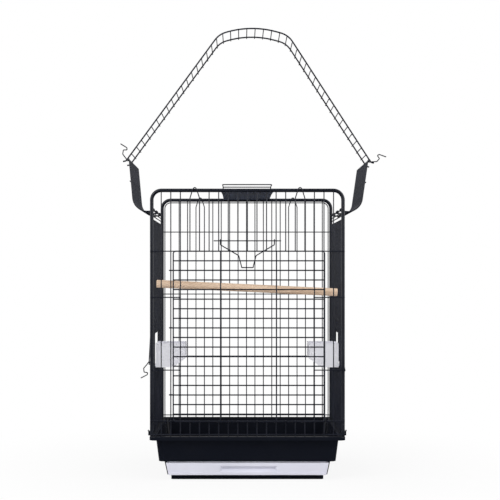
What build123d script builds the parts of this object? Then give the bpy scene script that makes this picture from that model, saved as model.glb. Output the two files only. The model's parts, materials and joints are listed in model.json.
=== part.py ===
from build123d import *
from math import atan2, cos, degrees, radians, sin, sqrt
import os

# Bird flight cage. Origin: centre of the footprint on the floor. +X right, +Y to the back, +Z up.

# Overall sizes
BAR_PITCH = 22.0
FRONT_GAPS = 20
SIDE_GAPS = 16
CAGE_W = BAR_PITCH * FRONT_GAPS
CAGE_D = 355.0
RAIL_Z = 669.0

# Wire, tube and fits
WIRE_D = 2.5
THIN_D = 2.4
DOOR_WIRE_D = 3.0
ARCH_RAIL_D = 3.5
ARCH_RUNG_D = 2.2
WELD = 0.1
CLEAR = 0.3
SEAT = 0.05
TUBE_D = 8.5
TUBE_WALL = 1.0
HOOP_BEND = 22.0
BAR_STICKOUT = 3.8

WIRE_R = WIRE_D / 2
TUBE_R = TUBE_D / 2
CROSS = WIRE_D - WELD
EYE_R = WIRE_D + CLEAR
EYE_BEND = EYE_R - 0.3
HALF_W = CAGE_W / 2
HALF_D = CAGE_D / 2
SIDE_PITCH = CAGE_D / SIDE_GAPS

# Tub and its rolled rim
TUB_FLOOR_Z = 43.5
RIM_BOTTOM_Z = 94.5
RIM_TOP_Z = 103.0
RIM_OUT = 5.5 + WIRE_D
TUB_LEDGE = 14.5
TUB_TAPER = 6.0
TUB_WALL = 2.5
TUB_CORNER = 12.0
FLOOR_LEDGE = 20.0
RIM_HALF_W = HALF_W + 5.5
RIM_HALF_D = HALF_D + RIM_OUT + 0.5

# Drawer, its housing and the foot pan
DRAWER_INSET = 17.0
DRAWER_TAPER = 6.0
DRAWER_TOP_Z = 41.0
DRAWER_WALL = 2.4
DRAWER_FRONT = 10.0
DRAWER_FRONT_Y = -172.0
DRAWER_D = 330.0
DRAWER_GAP = 0.6
DRAWER_LIP_H = 5.0
DRAWER_LIP_OUT = 1.5
PULL_X = 2.5
PULL_HALF_W = 66.0
PULL_H = 14.0
PULL_DEPTH = 7.0
PULL_SLOPE = 6.5
SKIRT_WALL = 2.0
FOOT_INSET = 5.0
FOOT_H = 13.6
FOOT_PLATE = 2.5
FOOT_FRONT_Y = -150.5
HOUSING_FRONT_Y = -166.0
HOUSING_BACK_Y = 166.0

# Floor grate
GRATE_PITCH = 14.0
GRATE_INSET = 3.0
GRATE_HALF_D = 158.0

# Front panel and door opening
OPENING_TOP_Z = 529.0
OPENING_BOTTOM_Z = 139.0
RIM_BAR_Z = 108.0
STUB_BARS_Z = (256.0, 423.0)
STRIP_WIRES = 3
HAIRPIN_WIRES = (5, 6)
HAIRPIN_BEND_Z = 651.0

# Rear panel
REAR_BARS_Z = (RIM_BAR_Z, 262.0, 424.0, 586.0)
EDGE_WIRE_INSET = 7.0

# Side panels, feeder openings and roof-door hinge bar
SIDE_TOP_BAR_Z = 603.0
SIDE_UPPER_BARS_Z = (366.0, 424.0, 529.0, SIDE_TOP_BAR_Z)
HINGE_BAR_Z = 628.0
ROOF_RAIL_BARS_Z = (613.0, 620.5, HINGE_BAR_Z)
FEEDER_TOP_Z = 336.0
FEEDER_BOTTOM_Z = 254.0
FEEDER_FIRST = -4
FEEDER_LAST = 1
FEEDER_HINGE_Z = 366.0
FEEDER_DOOR_BOTTOM_Z = 264.0
FEEDER_DOOR_HEAD = 8.0
FEEDER_DOOR_LAP = 5.0
FEEDER_OPEN_DEG = {-1: 3.0, 1: 0.0}

# Feed cups
CUP_DEPTH = 70.0
CUP_W = 92.0
CUP_H = 57.0
CUP_WALL = 2.0
CUP_SLOPE_X = 28.0
CUP_SLOPE_Z = 21.0
CUP_HOOK_W = 60.0
CUP_LIP = 2.8

# Perch
PERCH_D = 19.0
PERCH_LEFT_Z = 453.0
PERCH_RIGHT_Z = 432.0
PERCH_STEP = -1
PERCH_SLOT = 12.0

# Front door
DOOR_LEFT_X = -170.0
DOOR_RIGHT_X = 177.0
DOOR_CORNER = 6.0
DOOR_UPRIGHTS_X = (-61.5, 66.6)
DOOR_BARS = 17
DOOR_EYE_BARS = (2, 8, 15)
DOOR_HINGE_WIRE = -8

# Latch rod and lever
LATCH_Z = 553.0
LATCH_HALF = 77.5
LATCH_EYE_X = 62.2
LATCH_SHOULDER = (20.0, 519.0)
LATCH_TONGUE = (13.5, 494.0)
LATCH_TONGUE_TIP_Z = 491.5
LATCH_TONGUE_OUT = 5.0

# Top plate and carry handle
PLATE_T = 1.5
PLATE_LOW_Z = RAIL_Z + 0.5
PLATE_FRONT_HALF = 62.0
PLATE_HALF = 59.5
PLATE_TAPER_Y = (-150.0, -20.0)
LUG_X = 55.0
LUG_T = 2.0
LUG_H = 8.0
HANDLE_PIVOT_UP = 3.8
HANDLE_RISE = 14.5
HANDLE_REACH = 88.0
HANDLE_CROSS_Y = -6.0
HANDLE_GAP = 1.0

# Roof doors
ROOF_WIRES = 12
ROOF_ARM_UP = 44.0
ROOF_ARM_IN = 121.5
ROOF_BEND = 34.0
ROOF_OPEN_DEG = {-1: 95.2, 1: 98.2}
ROOF_HINGE_WIRES = (0, 1, 5, 6, 10, 11)
ROOF_MID_BAR = 50.0
ROOF_BAR_EXTRA = 7.0

# Roof arch
ARCH_FRONT_Y = -117.0
ARCH_W = 100.5
ARCH_RUNG_PITCH = 19.75
ARCH_CROWN = (11.5, 1062.6)
ARCH_SHOULDERS = {-1: (-66.0, 1041.0), 1: (96.5, 1039.0)}
ARCH_BEND = 48.0
ARCH_CROWN_BEND = 215.0
ARCH_GAP = 0.5
ARCH_LEG = 367.0
ARCH_TIP = 5.0
ARCH_FIRST_RUNG = 24.0

# S-shaped wire hooks: bends of the shank (along, across from the eye's edge), and how each hook points
HOOK_BENDS = ((5.0, 0.5), (17.0, 3.0), (25.0, -2.5), (21.5, -10.5), (26.5, -12.0), (41.0, -2.5))
HOOK_BEND_R = 1.8
ROOF_HOOK_DEG = {-1: 114.7, 1: 13.6}
FEEDER_HOOK_DEG = {-1: 240.5, 1: 270.0}

# Rim clips
CLIP_STEP = 5.5
CLIP_W = 14.0
CLIP_T = 1.2
CLIP_PIN_D = 2.0
CLIP_PIN_OUT = 9.3
CLIP_PIN_UP = 2.2
EAR_T = 1.6


def rods(centres, length, axis, radius=WIRE_R):
    """Add straight round rods, centred on the given points, to the part in work."""
    turn = {"x": (0, 90, 0), "y": (90, 0, 0), "z": (0, 0, 0)}[axis]
    with Locations(*centres):
        Cylinder(radius, length, rotation=turn)


def bent_wire(points, bend, radius=WIRE_R, ring=False):
    """Add one round wire, bent at the given corner points, to the part in work."""
    with BuildLine() as path:
        FilletPolyline(*points, radius=bend, close=ring)
    with BuildSketch(Plane(path.line @ 0, z_dir=path.line % 0)) as section:
        Circle(radius)
    sweep(sections=section.sketch, path=path.line)


def eye(pin, along, side, reach=EYE_R, wire_d=WIRE_D):
    """Corner points of a wire's eye about a pin, from its free end to where the wire leaves."""
    free_end = pin + along * reach + side * (reach - wire_d - WELD)
    return [
        free_end,
        pin + along * reach - side * reach,
        pin - along * reach - side * reach,
        pin - along * reach + side * reach,
    ]


def save(part, label):
    """Name a finished piece and write it to its own file."""
    part.label = label
    export_step(part, f"parts/{label}.step")


# Shared places, worked out from the sizes above
DOOR_R = DOOR_WIRE_D / 2
ARCH_RAIL_R = ARCH_RAIL_D / 2
ARCH_RUNG_R = ARCH_RUNG_D / 2
FRONT_BAR_Y = -HALF_D - TUBE_R - WIRE_R - SEAT
FRONT_WIRE_Y = FRONT_BAR_Y + CROSS
REAR_BAR_Y = -FRONT_BAR_Y
REAR_WIRE_Y = -FRONT_WIRE_Y
SIDE_BAR_X = HALF_W + CROSS
WIRE_FOOT_Z = RIM_TOP_Z + SEAT
LOWER_SPLIT_Z = OPENING_BOTTOM_Z + WIRE_R
UPPER_SPLIT_Z = OPENING_TOP_Z - WIRE_R
FRONT_WIRES_X = [BAR_PITCH * step for step in range(-9, 10)]
SIDE_WIRES_Y = [SIDE_PITCH * step for step in range(-7, 8)]
BAR_END = HALF_W + BAR_STICKOUT
SIDE_BAR_LENGTH = CAGE_D - 2 * sqrt((TUBE_R + SEAT) ** 2 - (CROSS - WIRE_R) ** 2)
WIRE_TOP_Z = RAIL_Z - sqrt(TUBE_R**2 - (abs(FRONT_WIRE_Y + HALF_D) - WIRE_R) ** 2) - SEAT

os.makedirs("parts", exist_ok=True)


# Black tub with a rolled rim and an open floor
def tub_half(z):
    """Half width and half depth of the tub's outer wall at height z."""
    share = (z - TUB_FLOOR_Z) / (RIM_BOTTOM_Z - TUB_FLOOR_Z)
    grow = TUB_TAPER * (share - 1)
    return RIM_HALF_W - TUB_LEDGE + grow, RIM_HALF_D - TUB_LEDGE + grow


def clip_places():
    """Side of the cage and middle of each rim clip, in y."""
    return [(side, end * CLIP_STEP * SIDE_PITCH) for side in (-1, 1) for end in (-1, 1)]


CLIP_PIN_X = HALF_W + CLIP_PIN_OUT
CLIP_PIN_Z = RIM_TOP_Z + CLIP_PIN_UP
FLOOR_TOP_Z = TUB_FLOOR_Z + TUB_WALL

with BuildPart() as base_tub:
    for level in (TUB_FLOOR_Z, RIM_BOTTOM_Z):
        half_x, half_y = tub_half(level)
        with BuildSketch(Plane.XY.offset(level)):
            RectangleRounded(2 * half_x, 2 * half_y, TUB_CORNER)
    loft()
    with BuildSketch(Plane.XY.offset(RIM_BOTTOM_Z)):
        RectangleRounded(2 * RIM_HALF_W, 2 * RIM_HALF_D, TUB_CORNER + 2)
    extrude(amount=RIM_TOP_Z - RIM_BOTTOM_Z)
    rim_edges = base_tub.edges().group_by(Axis.Z)[-1]
    fillet(rim_edges, 2.0)
    with BuildSketch(Plane.XY.offset(RIM_BOTTOM_Z)):
        RectangleRounded(2 * (RIM_HALF_W - TUB_WALL), 2 * (RIM_HALF_D - TUB_WALL), TUB_CORNER)
        half_x, half_y = tub_half(RIM_BOTTOM_Z)
        RectangleRounded(2 * half_x, 2 * half_y, TUB_CORNER, mode=Mode.SUBTRACT)
    extrude(amount=RIM_TOP_Z - RIM_BOTTOM_Z - TUB_WALL, mode=Mode.SUBTRACT)
    for level in (FLOOR_TOP_Z, RIM_TOP_Z):
        half_x, half_y = tub_half(level)
        with BuildSketch(Plane.XY.offset(level)):
            RectangleRounded(2 * (half_x - TUB_WALL), 2 * (half_y - TUB_WALL), TUB_CORNER - TUB_WALL)
    loft(mode=Mode.SUBTRACT)
    half_x, half_y = tub_half(TUB_FLOOR_Z)
    with BuildSketch(Plane.XY.offset(TUB_FLOOR_Z)):
        RectangleRounded(2 * (half_x - FLOOR_LEDGE), 2 * (half_y - FLOOR_LEDGE), TUB_CORNER)
    extrude(amount=TUB_WALL, mode=Mode.SUBTRACT)
    # Ears and pins of the rim clips
    for side, clip_y in clip_places():
        ear_x = side * (RIM_HALF_W + (CLIP_PIN_X + 2.5 - RIM_HALF_W) / 2 - 0.5)
        ear_w = CLIP_PIN_X + 2.5 - RIM_HALF_W + 1
        ear_y = CLIP_W / 2 + CLEAR + EAR_T / 2
        with Locations((ear_x, clip_y - ear_y, CLIP_PIN_Z - 2), (ear_x, clip_y + ear_y, CLIP_PIN_Z - 2)):
            Box(ear_w, EAR_T, 9)
        rods([(side * CLIP_PIN_X, clip_y, CLIP_PIN_Z)], 2 * ear_y + EAR_T, "y", CLIP_PIN_D / 2)
save(base_tub.part, "base_tub")


# Skirts, back wall and foot pan that guide the drawer
DRAWER_TOP_HALF_W = tub_half(TUB_FLOOR_Z)[0] - DRAWER_INSET
DRAWER_LOW_HALF_W = DRAWER_TOP_HALF_W - DRAWER_TAPER
DRAWER_BOTTOM_Z = FOOT_H + CLEAR
FOOT_HALF_W = DRAWER_LOW_HALF_W - FOOT_INSET
SKIRT_TOP_HALF = DRAWER_TOP_HALF_W + DRAWER_GAP + SKIRT_WALL
SKIRT_LEAN = DRAWER_TAPER / (DRAWER_TOP_Z - DRAWER_BOTTOM_Z)


def skirt_half(z):
    """Outer half width of the leaning skirts at height z."""
    return SKIRT_TOP_HALF - SKIRT_LEAN * (DRAWER_TOP_Z - z)


with BuildPart() as drawer_housing:
    floor_z = FOOT_H - FOOT_PLATE
    inner_top = skirt_half(TUB_FLOOR_Z) - SKIRT_WALL
    inner_low = skirt_half(FOOT_H) - SKIRT_WALL
    with BuildSketch(Plane.XZ.offset(-HOUSING_BACK_Y)):
        with BuildLine():
            Polyline(
                (-skirt_half(floor_z), floor_z),
                (skirt_half(floor_z), floor_z),
                (skirt_half(TUB_FLOOR_Z), TUB_FLOOR_Z),
                (-skirt_half(TUB_FLOOR_Z), TUB_FLOOR_Z),
                close=True,
            )
        make_face()
    extrude(amount=HOUSING_BACK_Y - HOUSING_FRONT_Y)
    with BuildSketch(Plane.XZ.offset(-HOUSING_BACK_Y + SKIRT_WALL)):
        with BuildLine():
            Polyline(
                (-inner_low, FOOT_H),
                (inner_low, FOOT_H),
                (inner_top, TUB_FLOOR_Z),
                (-inner_top, TUB_FLOOR_Z),
                close=True,
            )
        make_face()
    extrude(amount=HOUSING_BACK_Y - HOUSING_FRONT_Y, mode=Mode.SUBTRACT)
    # Only the skirts run on to the front; the floor and the pan start further back
    with Locations((0, (HOUSING_FRONT_Y + FOOT_FRONT_Y) / 2, FOOT_H / 2)):
        Box(2 * SKIRT_TOP_HALF, FOOT_FRONT_Y - HOUSING_FRONT_Y, FOOT_H, mode=Mode.SUBTRACT)
    pan_d = HOUSING_BACK_Y - FOOT_FRONT_Y
    with BuildSketch(Plane.XY):
        with Locations((0, (HOUSING_BACK_Y + FOOT_FRONT_Y) / 2)):
            RectangleRounded(2 * FOOT_HALF_W, pan_d, 6)
            RectangleRounded(2 * (FOOT_HALF_W - FOOT_PLATE), pan_d - 2 * FOOT_PLATE, 4, mode=Mode.SUBTRACT)
    extrude(amount=floor_z)
save(drawer_housing.part, "drawer_housing")


# Wire grate on the tub's floor ledge
with BuildPart() as floor_grate:
    grate_z = FLOOR_TOP_Z + WIRE_R + SEAT
    grate_half_w = tub_half(TUB_FLOOR_Z)[0] - FLOOR_LEDGE - GRATE_INSET
    grate_gaps = round(2 * grate_half_w / GRATE_PITCH)
    grate_xs = [grate_half_w * (2 * step / grate_gaps - 1) for step in range(grate_gaps + 1)]
    rods([(x, 0, grate_z) for x in grate_xs], 2 * GRATE_HALF_D, "y")
    grate_bar_ys = (-GRATE_HALF_D + 4, 0, GRATE_HALF_D - 4)
    grate_bar = grate_xs[-1] - grate_xs[0] + 8
    rods([(0, y, grate_z + CROSS) for y in grate_bar_ys], grate_bar, "x")
save(floor_grate.part, "floor_grate")


# White drawer: a tray, and its thick front with a recessed pull
DRAWER_TRAY_Y = DRAWER_FRONT_Y + DRAWER_FRONT
DRAWER_BACK_Y = DRAWER_FRONT_Y + DRAWER_D


def drawer_section(start_y, end_y, inset=0.0, mode=Mode.ADD):
    """Add or cut the drawer's tapered section between two depths, its walls and floor drawn in."""
    low = DRAWER_LOW_HALF_W - inset
    top = DRAWER_TOP_HALF_W - inset
    with BuildSketch(Plane.XZ.offset(-end_y)) as section:
        with BuildLine():
            Polyline(
                (-low, DRAWER_BOTTOM_Z + inset),
                (low, DRAWER_BOTTOM_Z + inset),
                (top, DRAWER_TOP_Z),
                (-top, DRAWER_TOP_Z),
                close=True,
            )
        make_face()
    extrude(section.sketch, amount=end_y - start_y, mode=mode)


with BuildPart() as drawer:
    drawer_section(DRAWER_TRAY_Y, DRAWER_BACK_Y)
    drawer_section(DRAWER_TRAY_Y, DRAWER_BACK_Y - DRAWER_WALL, DRAWER_WALL, Mode.SUBTRACT)
save(drawer.part, "drawer")

with BuildPart() as drawer_front:
    drawer_section(DRAWER_FRONT_Y, DRAWER_TRAY_Y)
    front_edges = drawer_front.faces().sort_by(Axis.Y)[0].edges()
    fillet(front_edges, 1.2)
    # Rounded strip along the foot of the front
    strip_h = DRAWER_LIP_H - DRAWER_LIP_OUT
    strip_w = 2 * DRAWER_LOW_HALF_W - 2
    with BuildSketch(Plane.YZ.offset(-strip_w / 2)):
        with Locations((DRAWER_FRONT_Y, DRAWER_BOTTOM_Z + DRAWER_LIP_H / 2)):
            SlotCenterToCenter(strip_h, 2 * DRAWER_LIP_OUT, rotation=90)
    extrude(amount=strip_w)
    # Scoop of the pull: a level top, and a bottom and sides that slope out to the front
    pull_low = DRAWER_BOTTOM_Z + DRAWER_LIP_H + 0.6
    pull_top = pull_low + PULL_H
    for depth, slope in ((0, 0), (PULL_DEPTH, PULL_SLOPE)):
        left = PULL_X - PULL_HALF_W + slope
        right = PULL_X + PULL_HALF_W - slope
        with BuildSketch(Plane.XZ.offset(-DRAWER_FRONT_Y - depth)):
            with BuildLine():
                Polyline(
                    (left, pull_low + 1.3 * slope),
                    (right, pull_low + 1.3 * slope),
                    (right, pull_top - 0.1 * slope),
                    (left, pull_top - 0.1 * slope),
                    close=True,
                )
            make_face()
    loft(mode=Mode.SUBTRACT)
save(drawer_front.part, "drawer_front")


# Front and rear hoops: tubes bent to an upturned U that stand on the tub's rim
for end, hoop_name in ((-1, "front_hoop"), (1, "rear_hoop")):
    with BuildPart() as hoop:
        with BuildLine() as hoop_line:
            FilletPolyline(
                (-HALF_W, end * HALF_D, RIM_TOP_Z),
                (-HALF_W, end * HALF_D, RAIL_Z),
                (HALF_W, end * HALF_D, RAIL_Z),
                (HALF_W, end * HALF_D, RIM_TOP_Z),
                radius=HOOP_BEND,
            )
        with BuildSketch(Plane(hoop_line.line @ 0, z_dir=hoop_line.line % 0)):
            Circle(TUBE_R)
            Circle(TUBE_R - TUBE_WALL, mode=Mode.SUBTRACT)
        sweep()
    save(hoop.part, hoop_name)


# Upper part of the front panel, with two hairpins over the top rail
def hairpins(end, wire_y):
    """Add the two hairpins that join a pair of uprights over the hoop's top rail."""
    rail_y = end * HALF_D
    for side in (-1, 1):
        legs = [side * BAR_PITCH * step for step in HAIRPIN_WIRES]
        middle = sum(legs) / 2
        bent_wire(
            [
                (legs[0], wire_y, HAIRPIN_BEND_Z - 12),
                (legs[0], wire_y, HAIRPIN_BEND_Z),
                (legs[0] + 0.55 * (middle - legs[0]), rail_y + end * 6.9, RAIL_Z + 1),
                (middle, rail_y + end * 3.2, RAIL_Z + 9.8),
                (legs[1] + 0.55 * (middle - legs[1]), rail_y + end * 6.9, RAIL_Z + 1),
                (legs[1], wire_y, HAIRPIN_BEND_Z),
                (legs[1], wire_y, HAIRPIN_BEND_Z - 12),
            ],
            [6, 3, 3.4, 3, 6],
        )


def uprights(xs, wire_y, bottom, top):
    """Add straight upright wires between two heights."""
    rods([(x, wire_y, (bottom + top) / 2) for x in xs], top - bottom, "z")


HAIRPIN_XS = [side * BAR_PITCH * step for side in (-1, 1) for step in HAIRPIN_WIRES]
PLAIN_XS = [x for x in FRONT_WIRES_X if x not in HAIRPIN_XS]

with BuildPart() as front_upper_grille:
    uprights(PLAIN_XS, FRONT_WIRE_Y, UPPER_SPLIT_Z, WIRE_TOP_Z)
    uprights(HAIRPIN_XS, FRONT_WIRE_Y, UPPER_SPLIT_Z, HAIRPIN_BEND_Z - 12)
    rods([(0, FRONT_BAR_Y, OPENING_TOP_Z)], 2 * BAR_END, "x")
    hairpins(-1, FRONT_WIRE_Y)
save(front_upper_grille.part, "front_upper_grille")


# Upright strips at the two sides of the door opening
for side, strip_name in ((-1, "front_left_grille"), (1, "front_right_grille")):
    with BuildPart() as strip:
        strip_xs = [side * x for x in FRONT_WIRES_X[-STRIP_WIRES:]]
        uprights(strip_xs, FRONT_WIRE_Y, LOWER_SPLIT_Z, UPPER_SPLIT_Z)
        stub_in = abs(strip_xs[0]) - WIRE_R
        stub_x = side * (stub_in + BAR_END) / 2
        rods([(stub_x, FRONT_BAR_Y, z) for z in STUB_BARS_Z], BAR_END - stub_in, "x")
    save(strip.part, strip_name)


# Low grille between the door and the tub
with BuildPart() as front_lower_grille:
    uprights(FRONT_WIRES_X, FRONT_WIRE_Y, WIRE_FOOT_Z, LOWER_SPLIT_Z)
    rods([(0, FRONT_BAR_Y, z) for z in (RIM_BAR_Z, OPENING_BOTTOM_Z)], 2 * BAR_END, "x")
save(front_lower_grille.part, "front_lower_grille")


# Rear panel, with an edge wire inside the rear hoop
with BuildPart() as rear_grille:
    uprights(PLAIN_XS, REAR_WIRE_Y, WIRE_FOOT_Z, WIRE_TOP_Z)
    uprights(HAIRPIN_XS, REAR_WIRE_Y, WIRE_FOOT_Z, HAIRPIN_BEND_Z - 12)
    rods([(0, REAR_BAR_Y, z) for z in REAR_BARS_Z], 2 * BAR_END, "x")
    hairpins(1, REAR_WIRE_Y)
    edge_x = HALF_W - EDGE_WIRE_INSET
    edge_y = REAR_WIRE_Y - CROSS
    edge_z = RAIL_Z - EDGE_WIRE_INSET
    rods([(side * edge_x, REAR_WIRE_Y, WIRE_FOOT_Z + 6) for side in (-1, 1)], 12, "z")
    bent_wire(
        [
            (-edge_x, REAR_WIRE_Y, WIRE_FOOT_Z + 12),
            (-edge_x, edge_y, WIRE_FOOT_Z + 22),
            (-edge_x, edge_y, edge_z),
            (edge_x, edge_y, edge_z),
            (edge_x, edge_y, WIRE_FOOT_Z + 22),
            (edge_x, REAR_WIRE_Y, WIRE_FOOT_Z + 12),
        ],
        [4, HOOP_BEND - EDGE_WIRE_INSET, HOOP_BEND - EDGE_WIRE_INSET, 4],
    )
save(rear_grille.part, "rear_grille")


# Side panels in four flat grilles round the feeder opening
SILL_SPLIT = FEEDER_BOTTOM_Z - WIRE_R
FEEDER_TOP_SPLIT = FEEDER_TOP_Z - WIRE_R
FEEDER_LOW_SPLIT = FEEDER_BOTTOM_Z + WIRE_R
FRONT_STRIP_YS = [y for y in SIDE_WIRES_Y if y <= FEEDER_FIRST * SIDE_PITCH]
REAR_STRIP_YS = [y for y in SIDE_WIRES_Y if y >= FEEDER_LAST * SIDE_PITCH]


def side_grille(name, side, ys, bottom, top, bars_z=()):
    """One flat grille of a side panel: upright wires, and bars laid on their outer side."""
    with BuildPart() as grille:
        rods([(side * HALF_W, y, (bottom + top) / 2) for y in ys], top - bottom, "z")
        if bars_z:
            rods([(side * SIDE_BAR_X, 0, z) for z in bars_z], SIDE_BAR_LENGTH, "y")
    save(grille.part, name)


for side, hand in ((-1, "left"), (1, "right")):
    upper_bars = (FEEDER_TOP_Z,) + SIDE_UPPER_BARS_Z
    lower_bars = (RIM_BAR_Z, OPENING_BOTTOM_Z)
    sill_bars = (FEEDER_BOTTOM_Z,)
    upper_top = SIDE_TOP_BAR_Z + WIRE_R
    side_grille(f"{hand}_side_upper_grille", side, SIDE_WIRES_Y, FEEDER_TOP_SPLIT, upper_top, upper_bars)
    side_grille(f"{hand}_side_front_grille", side, FRONT_STRIP_YS, FEEDER_LOW_SPLIT, FEEDER_TOP_SPLIT)
    side_grille(f"{hand}_side_rear_grille", side, REAR_STRIP_YS, FEEDER_LOW_SPLIT, FEEDER_TOP_SPLIT)
    side_grille(f"{hand}_feeder_sill", side, SIDE_WIRES_Y, SILL_SPLIT, FEEDER_LOW_SPLIT, sill_bars)
    side_grille(f"{hand}_side_middle_grille", side, SIDE_WIRES_Y, LOWER_SPLIT_Z, SILL_SPLIT)
    side_grille(f"{hand}_side_lower_grille", side, SIDE_WIRES_Y, WIRE_FOOT_Z, LOWER_SPLIT_Z, lower_bars)


# Level wires above the side panels; the roof doors hinge on the uppermost one
for side, hand in ((-1, "left"), (1, "right")):
    with BuildPart() as roof_rail:
        rods([(side * SIDE_BAR_X, 0, z) for z in ROOF_RAIL_BARS_Z], SIDE_BAR_LENGTH, "y")
    save(roof_rail.part, f"{hand}_roof_rail")


# Sheet plate between the two top rails, with lugs for the handle
PLATE_TOP_Z = PLATE_LOW_Z + PLATE_T
HANDLE_PIVOT_Z = PLATE_TOP_Z + HANDLE_PIVOT_UP

with BuildPart() as bridge_plate:
    with BuildSketch(Plane.XY.offset(PLATE_LOW_Z)):
        with BuildLine():
            Polyline(
                (-PLATE_FRONT_HALF, -HALF_D),
                (PLATE_FRONT_HALF, -HALF_D),
                (PLATE_FRONT_HALF, PLATE_TAPER_Y[0]),
                (PLATE_HALF, PLATE_TAPER_Y[1]),
                (PLATE_HALF, HALF_D),
                (-PLATE_HALF, HALF_D),
                (-PLATE_HALF, PLATE_TAPER_Y[1]),
                (-PLATE_FRONT_HALF, PLATE_TAPER_Y[0]),
                close=True,
            )
        make_face()
    extrude(amount=PLATE_T)
    # The ends follow the round of the two rails
    for end in (-1, 1):
        with Locations((0, end * HALF_D, RAIL_Z)):
            Cylinder(TUBE_R + SEAT, 3 * PLATE_FRONT_HALF, rotation=(0, 90, 0), mode=Mode.SUBTRACT)
    lug_z = PLATE_TOP_Z + LUG_H / 2 - WELD
    with Locations((-LUG_X, 0, lug_z), (LUG_X, 0, lug_z)):
        Box(LUG_T, LUG_H, LUG_H)
    with Locations((-LUG_X, 0, HANDLE_PIVOT_Z), (LUG_X, 0, HANDLE_PIVOT_Z)):
        Cylinder(WIRE_R + CLEAR, 2 * LUG_T, rotation=(0, 90, 0), mode=Mode.SUBTRACT)
save(bridge_plate.part, "bridge_plate")


# Carry handle: a rectangular bail that turns in the lugs of the plate
with BuildPart() as carry_handle:
    arm_x = LUG_X + LUG_T / 2 + HANDLE_GAP + WIRE_R
    grip_z = HANDLE_PIVOT_Z + HANDLE_RISE
    bail = [
        (-LUG_X + LUG_T * 2, 0, HANDLE_PIVOT_Z),
        (-arm_x, 0, HANDLE_PIVOT_Z),
        (-arm_x, 0, grip_z),
        (-arm_x, -HANDLE_REACH, grip_z),
        (arm_x, -HANDLE_REACH, grip_z),
        (arm_x, 0, grip_z),
        (arm_x, 0, HANDLE_PIVOT_Z),
        (LUG_X - LUG_T * 2, 0, HANDLE_PIVOT_Z),
    ]
    bent_wire(bail, [1.6, 4, 5, 5, 4, 1.6])
    rods([(0, HANDLE_CROSS_Y, grip_z)], 2 * arm_x - WIRE_R, "x")
save(carry_handle.part, "carry_handle")


# Roof doors, drawn shut and then swung open on the hinge bar
def roof_point(side, y, inward, up):
    """Point of an open roof door, given where it lies when the door is shut."""
    turn = radians(ROOF_OPEN_DEG[side])
    out = -inward * cos(turn) + up * sin(turn)
    rise = inward * sin(turn) + up * cos(turn)
    return Vector(side * (SIDE_BAR_X + out), y, HINGE_BAR_Z + rise)


def roof_bar(side):
    """Middle of the free end bar of an open roof door."""
    return roof_point(side, 0, ROOF_ARM_IN, ROOF_ARM_UP + CROSS)


ROOF_YS = [BAR_PITCH * (step - (ROOF_WIRES - 1) / 2) for step in range(ROOF_WIRES)]
ROOF_HALF_D = ROOF_YS[-1] + WIRE_R

for side, hand in ((-1, "left"), (1, "right")):
    with BuildPart() as roof_door:
        for step, y in enumerate(ROOF_YS):
            pin = Vector(side * SIDE_BAR_X, y, HINGE_BAR_Z)
            up_way = roof_point(side, y, 0, 1) - pin
            out_way = roof_point(side, y, -1, 0) - pin
            corner = roof_point(side, y, -EYE_R, ROOF_ARM_UP)
            tip = roof_point(side, y, ROOF_ARM_IN + WIRE_R, ROOF_ARM_UP)
            if step in ROOF_HINGE_WIRES:
                foot = eye(pin, up_way, out_way)
                bends = [EYE_BEND] * 3 + [ROOF_BEND]
            else:
                foot = [roof_point(side, y, -EYE_R, ROOF_ARM_UP - ROOF_BEND)]
                bends = [ROOF_BEND - 0.01]
            bent_wire(foot + [corner, tip], bends)
        bar = roof_bar(side)
        bar_front = -ROOF_HALF_D - ROOF_BAR_EXTRA
        rods([(bar.X, (ROOF_HALF_D + bar_front) / 2, bar.Z)], ROOF_HALF_D - bar_front, "y")
        mid = roof_point(side, 0, ROOF_ARM_IN - ROOF_MID_BAR, ROOF_ARM_UP + CROSS)
        foot_bar = roof_point(side, 0, -EYE_R - CROSS, ROOF_ARM_UP - ROOF_BEND + 2)
        rods([(p.X, 0, p.Z) for p in (mid, foot_bar)], 2 * ROOF_HALF_D, "y")
    save(roof_door.part, f"{hand}_roof_door")


# Wire ladder that bridges the two open roof doors and hooks round their end bars
def arch_foot(side):
    """Points where a leg ends: its flared tip, and the bend just below the door's end bar."""
    bar = roof_bar(side)
    shoulder = ARCH_SHOULDERS[side]
    offset = WIRE_R + ARCH_RAIL_R + ARCH_GAP
    rise = atan2(shoulder[1] - bar.Z, abs(shoulder[0] - bar.X)) + offset / ARCH_LEG
    leg = Vector(-side * cos(rise), 0, sin(rise))
    normal = Vector(side * sin(rise), 0, cos(rise))
    bend = bar + normal * offset - leg * ARCH_TIP
    return [bend + (normal - leg) * ARCH_TIP, bend]


def arch_line(y):
    """Corner points of one side wire of the arch."""
    middle = [Vector(x, 0, z) for x, z in (ARCH_SHOULDERS[-1], ARCH_CROWN, ARCH_SHOULDERS[1])]
    corners = arch_foot(-1) + middle + arch_foot(1)[::-1]
    return [Vector(p.X, y, p.Z) for p in corners]


ARCH_BENDS = [ARCH_TIP, ARCH_BEND, ARCH_CROWN_BEND, ARCH_BEND, ARCH_TIP]

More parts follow.
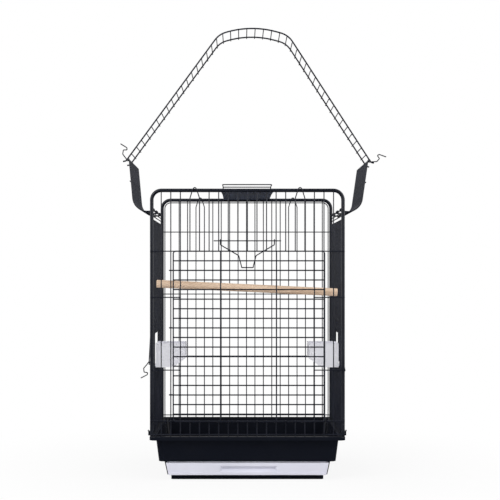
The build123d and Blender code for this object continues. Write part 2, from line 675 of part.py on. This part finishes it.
with BuildPart() as roof_arch:
    for y in (ARCH_FRONT_Y, ARCH_FRONT_Y + ARCH_W):
        bent_wire(arch_line(y), ARCH_BENDS, ARCH_RAIL_R)
    with BuildLine(mode=Mode.PRIVATE) as arch_path:
        FilletPolyline(*arch_line(ARCH_FRONT_Y + ARCH_W / 2), radius=ARCH_BENDS)
    arch_wire = arch_path.wires()[0]
    arch_length = arch_wire.length
    rung_count = int((arch_length - 2 * ARCH_FIRST_RUNG) / ARCH_RUNG_PITCH)
    first_rung = (arch_length - rung_count * ARCH_RUNG_PITCH) / 2
    rung_spots = [(first_rung + n * ARCH_RUNG_PITCH) / arch_length for n in range(rung_count + 1)]
    rung_points = []
    for spot in rung_spots:
        way = arch_wire % spot
        inward = Vector(way.Z, 0, -way.X)
        rung_points.append(arch_wire @ spot + inward * (ARCH_RAIL_R + ARCH_RUNG_R - WELD))
    rods(rung_points, ARCH_W + ARCH_RAIL_D, "y", ARCH_RUNG_R)
save(roof_arch.part, "roof_arch")


# Front door: level bars behind a bent frame, with eyes round one upright of the panel
DOOR_EYE_R = WIRE_R + CLEAR + DOOR_R
DOOR_BAR_Y = FRONT_WIRE_Y - DOOR_EYE_R
DOOR_FRAME_Y = DOOR_BAR_Y - DOOR_WIRE_D + WELD
DOOR_PIN_X = BAR_PITCH * DOOR_HINGE_WIRE

with BuildPart() as front_door:
    frame_mid_z = (OPENING_TOP_Z + OPENING_BOTTOM_Z) / 2
    bent_wire(
        [
            (DOOR_LEFT_X, DOOR_FRAME_Y, OPENING_BOTTOM_Z),
            (DOOR_RIGHT_X, DOOR_FRAME_Y, OPENING_BOTTOM_Z),
            (DOOR_RIGHT_X, DOOR_FRAME_Y, OPENING_TOP_Z),
            (DOOR_LEFT_X, DOOR_FRAME_Y, OPENING_TOP_Z),
        ],
        DOOR_CORNER,
        DOOR_R,
        ring=True,
    )
    door_h = OPENING_TOP_Z - OPENING_BOTTOM_Z
    rods([(x, DOOR_FRAME_Y, frame_mid_z) for x in DOOR_UPRIGHTS_X], door_h, "z", DOOR_R)
    plain_steps = [step for step in range(1, DOOR_BARS + 1) if step not in DOOR_EYE_BARS]
    plain_zs = [OPENING_TOP_Z - BAR_PITCH * step for step in plain_steps]
    bar_left = DOOR_LEFT_X - DOOR_R
    bar_right = DOOR_RIGHT_X + DOOR_R
    bar_mid = (bar_left + bar_right) / 2
    rods([(bar_mid, DOOR_BAR_Y, z) for z in plain_zs], bar_right - bar_left, "x", DOOR_R)
    for step in DOOR_EYE_BARS:
        pin = Vector(DOOR_PIN_X, FRONT_WIRE_Y, OPENING_TOP_Z - BAR_PITCH * step)
        loop = eye(pin, Vector(1, 0, 0), Vector(0, -1, 0), DOOR_EYE_R, DOOR_WIRE_D)
        far_end = Vector(bar_right, DOOR_BAR_Y, pin.Z)
        bent_wire(loop + [far_end], DOOR_EYE_R - 0.3, DOOR_R)
save(front_door.part, "front_door")


# Latch rod behind the panel's uprights, and the lever that hangs on it
LATCH_Y = FRONT_WIRE_Y + WIRE_D + SEAT
LEVER_Y = LATCH_Y + EYE_R

with BuildPart() as latch_rod:
    rods([(0, LATCH_Y, LATCH_Z)], 2 * LATCH_HALF, "x")
save(latch_rod.part, "latch_rod")

with BuildPart() as latch_lever:
    right_half = [
        Vector(LATCH_EYE_X, LEVER_Y, LATCH_Z - 9),
        Vector(LATCH_SHOULDER[0], LEVER_Y, LATCH_SHOULDER[1]),
        Vector(LATCH_TONGUE[0], LEVER_Y, LATCH_TONGUE[1]),
        Vector(LATCH_TONGUE[0], LEVER_Y - LATCH_TONGUE_OUT, LATCH_TONGUE_TIP_Z),
    ]
    loop = eye(Vector(LATCH_EYE_X, LATCH_Y, LATCH_Z), Vector(0, 0, -1), Vector(0, 1, 0))
    half = loop + right_half
    mirrored = [Vector(-p.X, p.Y, p.Z) for p in half]
    half_bends = [EYE_BEND] * 3 + [3, 4, 2, 2]
    bent_wire(mirrored + half[::-1], half_bends + half_bends[::-1])
save(latch_lever.part, "latch_lever")


# Feeder doors on the outer side of the side panels, hung from a bar by three eyes
FEEDER_PLANE_X = SIDE_BAR_X + EYE_R
FEEDER_FRAME_X = FEEDER_PLANE_X + CROSS
FEEDER_FRONT_Y = FEEDER_FIRST * SIDE_PITCH - FEEDER_DOOR_LAP
FEEDER_BACK_Y = FEEDER_LAST * SIDE_PITCH + FEEDER_DOOR_LAP
STRAP_YS = [(step + 0.5) * SIDE_PITCH for step in range(FEEDER_FIRST, FEEDER_LAST)]


def feeder_swing(side):
    """The small turn about its hinge bar that a feeder door hangs at."""
    hinge = Axis((side * SIDE_BAR_X, 0, FEEDER_HINGE_Z), (0, 1, 0))
    return hinge, -side * FEEDER_OPEN_DEG[side]


for side, hand in ((-1, "left"), (1, "right")):
    with BuildPart() as feeder_door:
        frame_x = side * FEEDER_FRAME_X
        frame_top = FEEDER_HINGE_Z - FEEDER_DOOR_HEAD
        frame_mid = (frame_top + FEEDER_DOOR_BOTTOM_Z) / 2
        bent_wire(
            [
                (frame_x, FEEDER_FRONT_Y, FEEDER_DOOR_BOTTOM_Z),
                (frame_x, FEEDER_BACK_Y, FEEDER_DOOR_BOTTOM_Z),
                (frame_x, FEEDER_BACK_Y, frame_top),
                (frame_x, FEEDER_FRONT_Y, frame_top),
            ],
            5,
            ring=True,
        )
        frame_mid_y = (FEEDER_FRONT_Y + FEEDER_BACK_Y) / 2
        rods([(frame_x, frame_mid_y, frame_mid)], FEEDER_BACK_Y - FEEDER_FRONT_Y, "y")
        for step, y in enumerate(STRAP_YS):
            low_end = Vector(side * FEEDER_PLANE_X, y, FEEDER_DOOR_BOTTOM_Z - WIRE_R)
            if step % 2 == 0:
                pin = Vector(side * SIDE_BAR_X, y, FEEDER_HINGE_Z)
                bent_wire(eye(pin, Vector(0, 0, -1), Vector(side, 0, 0)) + [low_end], EYE_BEND)
            else:
                strap_h = frame_top - FEEDER_DOOR_BOTTOM_Z + WIRE_D
                rods([(low_end.X, y, low_end.Z + strap_h / 2)], strap_h, "z")
    save(feeder_door.part.rotate(*feeder_swing(side)), f"{hand}_feeder_door")


# S-shaped hooks that hang by an eye from a bar
THIN_EYE_R = WIRE_R + CLEAR + THIN_D / 2
HOOK_FEEDER_Y = FEEDER_FRONT_Y + 9
HOOK_ROOF_Y = -ROOF_HALF_D - ROOF_BAR_EXTRA + 1.6


def s_hook(name, pin, degrees_up, flip):
    """A thin wire hook about a pin that runs in y. Its shank points degrees_up from +X."""
    angle = radians(degrees_up)
    along = Vector(cos(angle), 0, sin(angle))
    side = Vector(-sin(angle), 0, cos(angle)) * flip
    shank = [pin + along * a + side * (c + THIN_EYE_R) for a, c in HOOK_BENDS]
    loop = eye(pin, along, side, THIN_EYE_R, THIN_D)
    with BuildPart() as hook:
        bent_wire(loop + shank, [THIN_EYE_R - 0.3] * 3 + [HOOK_BEND_R] * 5, THIN_D / 2)
    save(hook.part, name)


for side, hand in ((-1, "left"), (1, "right")):
    bar = roof_bar(side)
    s_hook(f"{hand}_roof_hook", Vector(bar.X, HOOK_ROOF_Y, bar.Z), ROOF_HOOK_DEG[side], -side)
    feeder_pin = Vertex(side * FEEDER_FRAME_X, HOOK_FEEDER_Y, FEEDER_DOOR_BOTTOM_Z)
    feeder_pin = Vector(feeder_pin.rotate(*feeder_swing(side)))
    s_hook(f"{hand}_feeder_hook", feeder_pin, FEEDER_HOOK_DEG[side], side)


# Feed cups that hook over the sill bar of the feeder openings
CUP_OUTER_X = HALF_W - WIRE_R - 2 * CLEAR
CUP_BOTTOM_Z = FEEDER_BOTTOM_Z
CUP_Y = (FEEDER_FIRST + FEEDER_LAST) / 2 * SIDE_PITCH


def cup_outline(side, inset):
    """Corner points of the cup's section, drawn in by a wall."""
    outer = CUP_OUTER_X - inset
    inner = CUP_OUTER_X - CUP_DEPTH + inset
    low = CUP_BOTTOM_Z + inset
    top = CUP_BOTTOM_Z + CUP_H
    return [
        (side * outer, low),
        (side * outer, top),
        (side * inner, top),
        (side * inner, CUP_BOTTOM_Z + CUP_SLOPE_Z),
        (side * (inner + CUP_SLOPE_X - inset), low),
    ]


for side, hand in ((-1, "left"), (1, "right")):
    with BuildPart() as feed_cup:
        with BuildSketch(Plane.XZ.offset(-CUP_Y - CUP_W / 2)):
            with BuildLine():
                Polyline(*cup_outline(side, 0), close=True)
            make_face()
        extrude(amount=CUP_W)
        with BuildSketch(Plane.XZ.offset(-CUP_Y - CUP_W / 2 + CUP_WALL)):
            with BuildLine():
                Polyline(*cup_outline(side, CUP_WALL), close=True)
            make_face()
        extrude(amount=CUP_W - 2 * CUP_WALL, mode=Mode.SUBTRACT)
        # Flange over the sill bar, with a short lip down its outer side
        shelf_z = FEEDER_BOTTOM_Z + WIRE_R + 2 * SEAT
        lip_in = SIDE_BAR_X + WIRE_R + CLEAR
        lip_out = lip_in + CUP_WALL
        shelf_w = lip_out - CUP_OUTER_X + CUP_WALL / 2
        shelf_x = side * (lip_out - shelf_w / 2)
        with Locations((shelf_x, CUP_Y, shelf_z + CUP_WALL / 2)):
            Box(shelf_w, CUP_HOOK_W, CUP_WALL)
        with Locations((side * (lip_in + CUP_WALL / 2), CUP_Y, shelf_z + CUP_WALL - CUP_LIP)):
            Box(CUP_WALL, CUP_HOOK_W, 2 * CUP_LIP)
    save(feed_cup.part, f"{hand}_feed_cup")


# Wooden perch, slotted at both ends over a side upright
with BuildPart() as perch:
    perch_y = PERCH_STEP * SIDE_PITCH
    perch_half = HALF_W
    perch_rise = PERCH_LEFT_Z - PERCH_RIGHT_Z
    tilt = degrees(atan2(perch_rise, 2 * perch_half))
    perch_length = sqrt((2 * perch_half) ** 2 + perch_rise**2)
    with Locations(Location((0, perch_y, (PERCH_LEFT_Z + PERCH_RIGHT_Z) / 2), (0, 90 + tilt, 0))):
        Cylinder(PERCH_D / 2, perch_length)
    chamfer(perch.edges().filter_by(GeomType.CIRCLE), 0.8)
    for side in (-1, 1):
        with Locations((side * perch_half, perch_y, (PERCH_LEFT_Z + PERCH_RIGHT_Z) / 2)):
            Box(2 * PERCH_SLOT, WIRE_D + 2 * CLEAR, 3 * PERCH_D, mode=Mode.SUBTRACT)
save(perch.part, "perch")


# Bright sheet clips that turn on the rim's ears and hook over the lowest side bar
CLIP_NAMES = {(-1, -1): "left_front", (-1, 1): "left_rear", (1, -1): "right_front", (1, 1): "right_rear"}

for side, clip_y in clip_places():
    with BuildPart() as rim_clip:
        barrel_r = CLIP_PIN_D / 2 + CLEAR + CLIP_T / 2
        hump_z = RIM_BAR_Z + WIRE_R + CLEAR + CLIP_T / 2
        with BuildSketch(Plane.XZ.offset(-clip_y - CLIP_W / 2)):
            with BuildLine():
                FilletPolyline(
                    (side * (SIDE_BAR_X - 0.6), hump_z),
                    (side * (SIDE_BAR_X + 2.6), hump_z),
                    (side * (CLIP_PIN_X - 1), CLIP_PIN_Z + barrel_r),
                    (side * (CLIP_PIN_X + 1.5), CLIP_PIN_Z + barrel_r),
                    (side * (CLIP_PIN_X + 3.7), CLIP_PIN_Z + barrel_r + 3),
                    radius=0.9,
                )
            trace(line_width=CLIP_T)
            with Locations((side * CLIP_PIN_X, CLIP_PIN_Z)):
                Circle(barrel_r + CLIP_T / 2)
                Circle(CLIP_PIN_D / 2 + CLEAR, mode=Mode.SUBTRACT)
        extrude(amount=CLIP_W)
    save(rim_clip.part, f"{CLIP_NAMES[(side, 1 if clip_y > 0 else -1)]}_rim_clip")
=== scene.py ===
import json
import math

import bpy
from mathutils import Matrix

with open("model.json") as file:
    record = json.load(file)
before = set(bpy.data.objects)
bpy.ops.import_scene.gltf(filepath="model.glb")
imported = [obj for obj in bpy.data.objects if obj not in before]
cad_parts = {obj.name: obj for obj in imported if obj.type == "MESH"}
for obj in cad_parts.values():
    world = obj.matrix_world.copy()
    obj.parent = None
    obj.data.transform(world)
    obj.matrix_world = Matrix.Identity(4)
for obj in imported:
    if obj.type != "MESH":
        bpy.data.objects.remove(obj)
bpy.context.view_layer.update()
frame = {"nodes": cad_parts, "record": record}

# Camera: a little left of the cage and below its middle, looking straight to the back
CAMERA_PLACE = (-0.017, -2.820, 0.479)
CAMERA_LENS = 82.7
CAMERA_SENSOR = 36.0
CAMERA_SHIFT = (0.02, 0.046)
CAMERA_CLIP = 50.0

# Lamps, both pointed at the middle of the wire cage
LAMP_AIM = (0.0, 0.0, 0.5)
KEY_PLACE = (-1.6, -2.2, 2.4)
KEY_SIZE = 1.6
KEY_POWER = 33.0
FILL_PLACE = (2.2, -1.6, 1.6)
FILL_SIZE = 1.8
FILL_POWER = 14.0

# World light: from the front, added at the two sides, and added from above
FRONT_LIGHT = 0.12
SIDE_LIGHT = 1.9
TOP_LIGHT = 0.25

# Floor: its share of plain white to the camera grows from FLOOR_GLOW to 1 between the two distances
FLOOR_SIZE = 9.0
FLOOR_WHITE = 0.9
FLOOR_ROUGH = 0.9
FLOOR_GLOW = 0.88
FLOOR_FADE_START = 0.35
FLOOR_FADE_END = 0.9
# Brightness of the floor as mirrored in the enamel: a dim glow, painted shade in the reflections
FLOOR_PAINTED_DARK_REFLECTION = 0.02

# Sizes of the materials' features, in metres
ENAMEL_PEEL = 0.0012
DUST_PATCH = 0.06
PLASTIC_CLOUD = 0.09
MOULD_GRAIN = 0.0009
WOOD_GRAIN = 0.011
WOOD_FIBRE = 0.001375
STEEL_STAIN = 0.015
BRUSH_LINE = 0.0006

# How far grain and brush lines are drawn out along one axis
WOOD_ALONG = (1.0 / 14.0, 1.0, 1.0)
BRUSH_ALONG = (1.0, 0.04, 1.0)

# Roughness below and above a finish's own value
ENAMEL_SHINE = (-0.06, 0.1)
PLASTIC_SHINE = (-0.05, 0.07)


# Helpers for node materials
def new_material(name):
    """An empty node material, with its tree, its shader and its object coordinates."""
    material = bpy.data.materials.new(name)
    material.use_nodes = True
    tree = material.node_tree
    shader = tree.nodes["Principled BSDF"]
    place = tree.nodes.new("ShaderNodeTexCoord").outputs["Object"]
    return material, tree, shader, place


def noise(tree, place, size, detail=3.0, stretch=None):
    """Noise whose features are about size metres across, drawn out along one axis if asked."""
    if stretch:
        mapping = tree.nodes.new("ShaderNodeMapping")
        mapping.inputs["Scale"].default_value = stretch
        tree.links.new(place, mapping.inputs["Vector"])
        place = mapping.outputs["Vector"]
    texture = tree.nodes.new("ShaderNodeTexNoise")
    texture.inputs["Scale"].default_value = 1.0 / size
    texture.inputs["Detail"].default_value = detail
    tree.links.new(place, texture.inputs["Vector"])
    return texture.outputs["Fac"]


def math_node(tree, operation, *values):
    """A math node whose inputs are numbers or other nodes' outputs."""
    node = tree.nodes.new("ShaderNodeMath")
    node.operation = operation
    for socket, value in zip(node.inputs, values):
        if isinstance(value, float):
            socket.default_value = value
        else:
            tree.links.new(value, socket)
    return node.outputs["Value"]


def mix_shaders(tree, factor, first, second):
    """A mix of two shaders, all second where the factor is 1."""
    node = tree.nodes.new("ShaderNodeMixShader")
    tree.links.new(factor, node.inputs["Fac"])
    tree.links.new(first, node.inputs[1])
    tree.links.new(second, node.inputs[2])
    return node.outputs["Shader"]


def ramp(tree, factor, stops, socket):
    """Sets a shader's socket from a factor. Each stop is (position, (r, g, b))."""
    node = tree.nodes.new("ShaderNodeValToRGB")
    elements = node.color_ramp.elements
    while len(elements) < len(stops):
        elements.new(0.5)
    for element, (position, colour) in zip(elements, stops):
        element.position = position
        element.color = (*colour, 1.0)
    tree.links.new(factor, node.inputs["Fac"])
    tree.links.new(node.outputs["Color"], socket)


def grey(value):
    """A grey as a colour."""
    return (value, value, value)


def scaled(colour, factor, lift=0.0):
    """A colour made darker or lighter."""
    return tuple(factor * part + lift for part in colour)


def bump(tree, shader, height, strength, distance):
    """Wires a height into the shader's normal."""
    node = tree.nodes.new("ShaderNodeBump")
    node.inputs["Strength"].default_value = strength
    node.inputs["Distance"].default_value = distance
    tree.links.new(height, node.inputs["Height"])
    tree.links.new(node.outputs["Normal"], shader.inputs["Normal"])


# Enamelled steel: dark blue-black paint, with a faint orange peel and patches of dust
def enamel(name, colour, rough):
    material, tree, shader, place = new_material(name)
    patches = noise(tree, place, DUST_PATCH)
    low, high = ENAMEL_SHINE
    clean = scaled(colour, 0.8)
    dusty = scaled(colour, 1.25, lift=0.004)
    ramp(tree, patches, [(0.35, clean), (0.7, dusty)], shader.inputs["Base Color"])
    ramp(tree, patches, [(0.3, grey(rough + low)), (0.75, grey(rough + high))], shader.inputs["Roughness"])
    shader.inputs["Specular IOR Level"].default_value = 0.3
    shader.inputs["Coat Weight"].default_value = 0.1
    shader.inputs["Coat Roughness"].default_value = 0.2
    peel = noise(tree, place, ENAMEL_PEEL, detail=2.0)
    bump(tree, shader, peel, strength=0.25, distance=0.0002)
    return material


# Moulded plastic: even colour, a fine grain and a slightly uneven shine
def plastic(name, colour, rough, specular=0.5):
    material, tree, shader, place = new_material(name)
    cloud = noise(tree, place, PLASTIC_CLOUD)
    low, high = PLASTIC_SHINE
    ramp(tree, cloud, [(0.3, scaled(colour, 0.93)), (0.7, colour)], shader.inputs["Base Color"])
    ramp(tree, cloud, [(0.3, grey(rough + low)), (0.7, grey(rough + high))], shader.inputs["Roughness"])
    shader.inputs["Specular IOR Level"].default_value = specular
    grain = noise(tree, place, MOULD_GRAIN, detail=2.0)
    bump(tree, shader, grain, strength=0.12, distance=0.0002)
    return material


# Sanded pale wood: long grain lines with fine fibres between them
def wood(name, light, dark):
    material, tree, shader, place = new_material(name)
    grain = noise(tree, place, WOOD_GRAIN, detail=4.0, stretch=WOOD_ALONG)
    fibre = noise(tree, place, WOOD_FIBRE, detail=2.0, stretch=WOOD_ALONG)
    lines = math_node(tree, "MULTIPLY_ADD", fibre, 0.45, grain)
    middle = tuple((a + b) / 2 for a, b in zip(light, dark))
    ramp(tree, lines, [(0.45, dark), (0.62, middle), (0.8, light)], shader.inputs["Base Color"])
    ramp(tree, lines, [(0.4, grey(0.62)), (0.8, grey(0.8))], shader.inputs["Roughness"])
    bump(tree, shader, lines, strength=0.35, distance=0.0006)
    return material


# Plated steel sheet, faintly stained and brushed from front to back
def plated(name, colour):
    material, tree, shader, place = new_material(name)
    brushed = noise(tree, place, BRUSH_LINE, detail=2.0, stretch=BRUSH_ALONG)
    stain = noise(tree, place, STEEL_STAIN)
    ramp(tree, stain, [(0.3, scaled(colour, 0.7)), (0.65, colour)], shader.inputs["Base Color"])
    ramp(tree, brushed, [(0.3, grey(0.22)), (0.7, grey(0.42))], shader.inputs["Roughness"])
    shader.inputs["Metallic"].default_value = 1.0
    bump(tree, shader, brushed, strength=0.2, distance=0.0001)
    return material


FINISHES = {
    "wire_enamel": enamel("wire_enamel_paint", (0.005, 0.007, 0.016), 0.36),
    "tube_enamel": enamel("tube_enamel_paint", (0.005, 0.007, 0.014), 0.34),
    "plate_enamel": enamel("plate_enamel_paint", (0.06, 0.074, 0.118), 0.36),
    "hook_wire": enamel("hook_wire_paint", (0.006, 0.008, 0.015), 0.38),
    "tub_plastic": plastic("tub_black_plastic", (0.0075, 0.009, 0.0145), 0.18, specular=0.15),
    "drawer_plastic": plastic("drawer_white_plastic", (0.78, 0.78, 0.88), 0.34),
    "cup_plastic": plastic("cup_white_plastic", (0.93, 0.93, 0.99), 0.32),
    "perch_wood": wood("perch_sanded_wood", (0.86, 0.65, 0.48), (0.58, 0.39, 0.26)),
    "clip_steel": plated("clip_plated_steel", (0.27, 0.28, 0.275)),
}

for part in frame["record"]["subparts"]:
    mesh = frame["nodes"][part["node"]].data
    mesh.materials.clear()
    mesh.materials.append(FINISHES[part["material_slot"]])


# Floor: keeps the cage's soft shadow nearby and turns plain white further out
def build_floor():
    bpy.ops.mesh.primitive_plane_add(size=FLOOR_SIZE)
    floor = bpy.context.object
    floor.name = "studio_floor"
    material, tree, shader, place = new_material("studio_floor_paper")
    shader.inputs["Base Color"].default_value = (*grey(FLOOR_WHITE), 1.0)
    shader.inputs["Roughness"].default_value = FLOOR_ROUGH
    glow = tree.nodes.new("ShaderNodeEmission")
    glow.inputs["Color"].default_value = (1.0, 1.0, 1.0, 1.0)
    distance = tree.nodes.new("ShaderNodeVectorMath")
    distance.operation = "LENGTH"
    tree.links.new(place, distance.inputs[0])
    fade = tree.nodes.new("ShaderNodeMapRange")
    fade.interpolation_type = "SMOOTHSTEP"
    fade.inputs["From Min"].default_value = FLOOR_FADE_START
    fade.inputs["From Max"].default_value = FLOOR_FADE_END
    fade.inputs["To Min"].default_value = FLOOR_GLOW
    tree.links.new(distance.outputs["Value"], fade.inputs["Value"])
    path = tree.nodes.new("ShaderNodeLightPath")
    share = math_node(tree, "MULTIPLY", fade.outputs["Result"], path.outputs["Is Camera Ray"])
    seen = mix_shaders(tree, share, shader.outputs["BSDF"], glow.outputs["Emission"])
    # Mirrored in the enamel, the floor shows as a dim glow instead of its lit white: painted shade in the
    # wires' reflections
    dark = tree.nodes.new("ShaderNodeEmission")
    dark.inputs["Color"].default_value = (*grey(FLOOR_PAINTED_DARK_REFLECTION), 1.0)
    surface = mix_shaders(tree, path.outputs["Is Glossy Ray"], seen, dark.outputs["Emission"])
    tree.links.new(surface, tree.nodes["Material Output"].inputs["Surface"])
    floor.data.materials.append(material)


# World: soft light, strongest from the two sides, and plain white to the camera
def build_world():
    world = bpy.data.worlds.new("studio_world")
    bpy.context.scene.world = world
    world.use_nodes = True
    tree = world.node_tree
    light = tree.nodes["Background"]
    light.inputs["Color"].default_value = (1.0, 1.0, 1.0, 1.0)
    way = tree.nodes.new("ShaderNodeTexCoord").outputs["Generated"]
    split = tree.nodes.new("ShaderNodeSeparateXYZ")
    tree.links.new(way, split.inputs["Vector"])
    squared = math_node(tree, "MULTIPLY", split.outputs["X"], split.outputs["X"])
    sides = math_node(tree, "MULTIPLY_ADD", squared, SIDE_LIGHT, FRONT_LIGHT)
    above = math_node(tree, "MAXIMUM", split.outputs["Z"], 0.0)
    strength = math_node(tree, "MULTIPLY_ADD", above, TOP_LIGHT, sides)
    tree.links.new(strength, light.inputs["Strength"])
    white = tree.nodes.new("ShaderNodeBackground")
    white.inputs["Color"].default_value = (1.0, 1.0, 1.0, 1.0)
    camera_ray = tree.nodes.new("ShaderNodeLightPath").outputs["Is Camera Ray"]
    surface = mix_shaders(tree, camera_ray, light.outputs["Background"], white.outputs["Background"])
    tree.links.new(surface, tree.nodes["World Output"].inputs["Surface"])


def area_light(name, place, aim, size, power):
    """A soft square lamp at a place, pointed at another."""
    lamp = bpy.data.lights.new(name, "AREA")
    lamp.size = size
    lamp.energy = power
    lamp_object = bpy.data.objects.new(name, lamp)
    bpy.context.scene.collection.objects.link(lamp_object)
    lamp_object.location = place
    way = [b - a for a, b in zip(place, aim)]
    flat = math.hypot(way[0], way[1])
    lamp_object.rotation_euler = (math.atan2(flat, -way[2]), 0.0, math.atan2(-way[0], way[1]))


def build_camera():
    """The camera, level and looking along +Y."""
    camera = bpy.data.cameras.new("camera")
    camera.sensor_width = CAMERA_SENSOR
    camera.lens = CAMERA_LENS
    camera.shift_x, camera.shift_y = CAMERA_SHIFT
    camera.clip_end = CAMERA_CLIP
    camera_object = bpy.data.objects.new("camera", camera)
    camera_object.location = CAMERA_PLACE
    camera_object.rotation_euler = (math.pi / 2, 0.0, 0.0)
    bpy.context.scene.collection.objects.link(camera_object)
    bpy.context.scene.camera = camera_object


build_floor()
build_world()
area_light("key_lamp", KEY_PLACE, LAMP_AIM, KEY_SIZE, KEY_POWER)
area_light("fill_lamp", FILL_PLACE, LAMP_AIM, FILL_SIZE, FILL_POWER)
build_camera()
bpy.context.scene.view_settings.view_transform = "Standard"
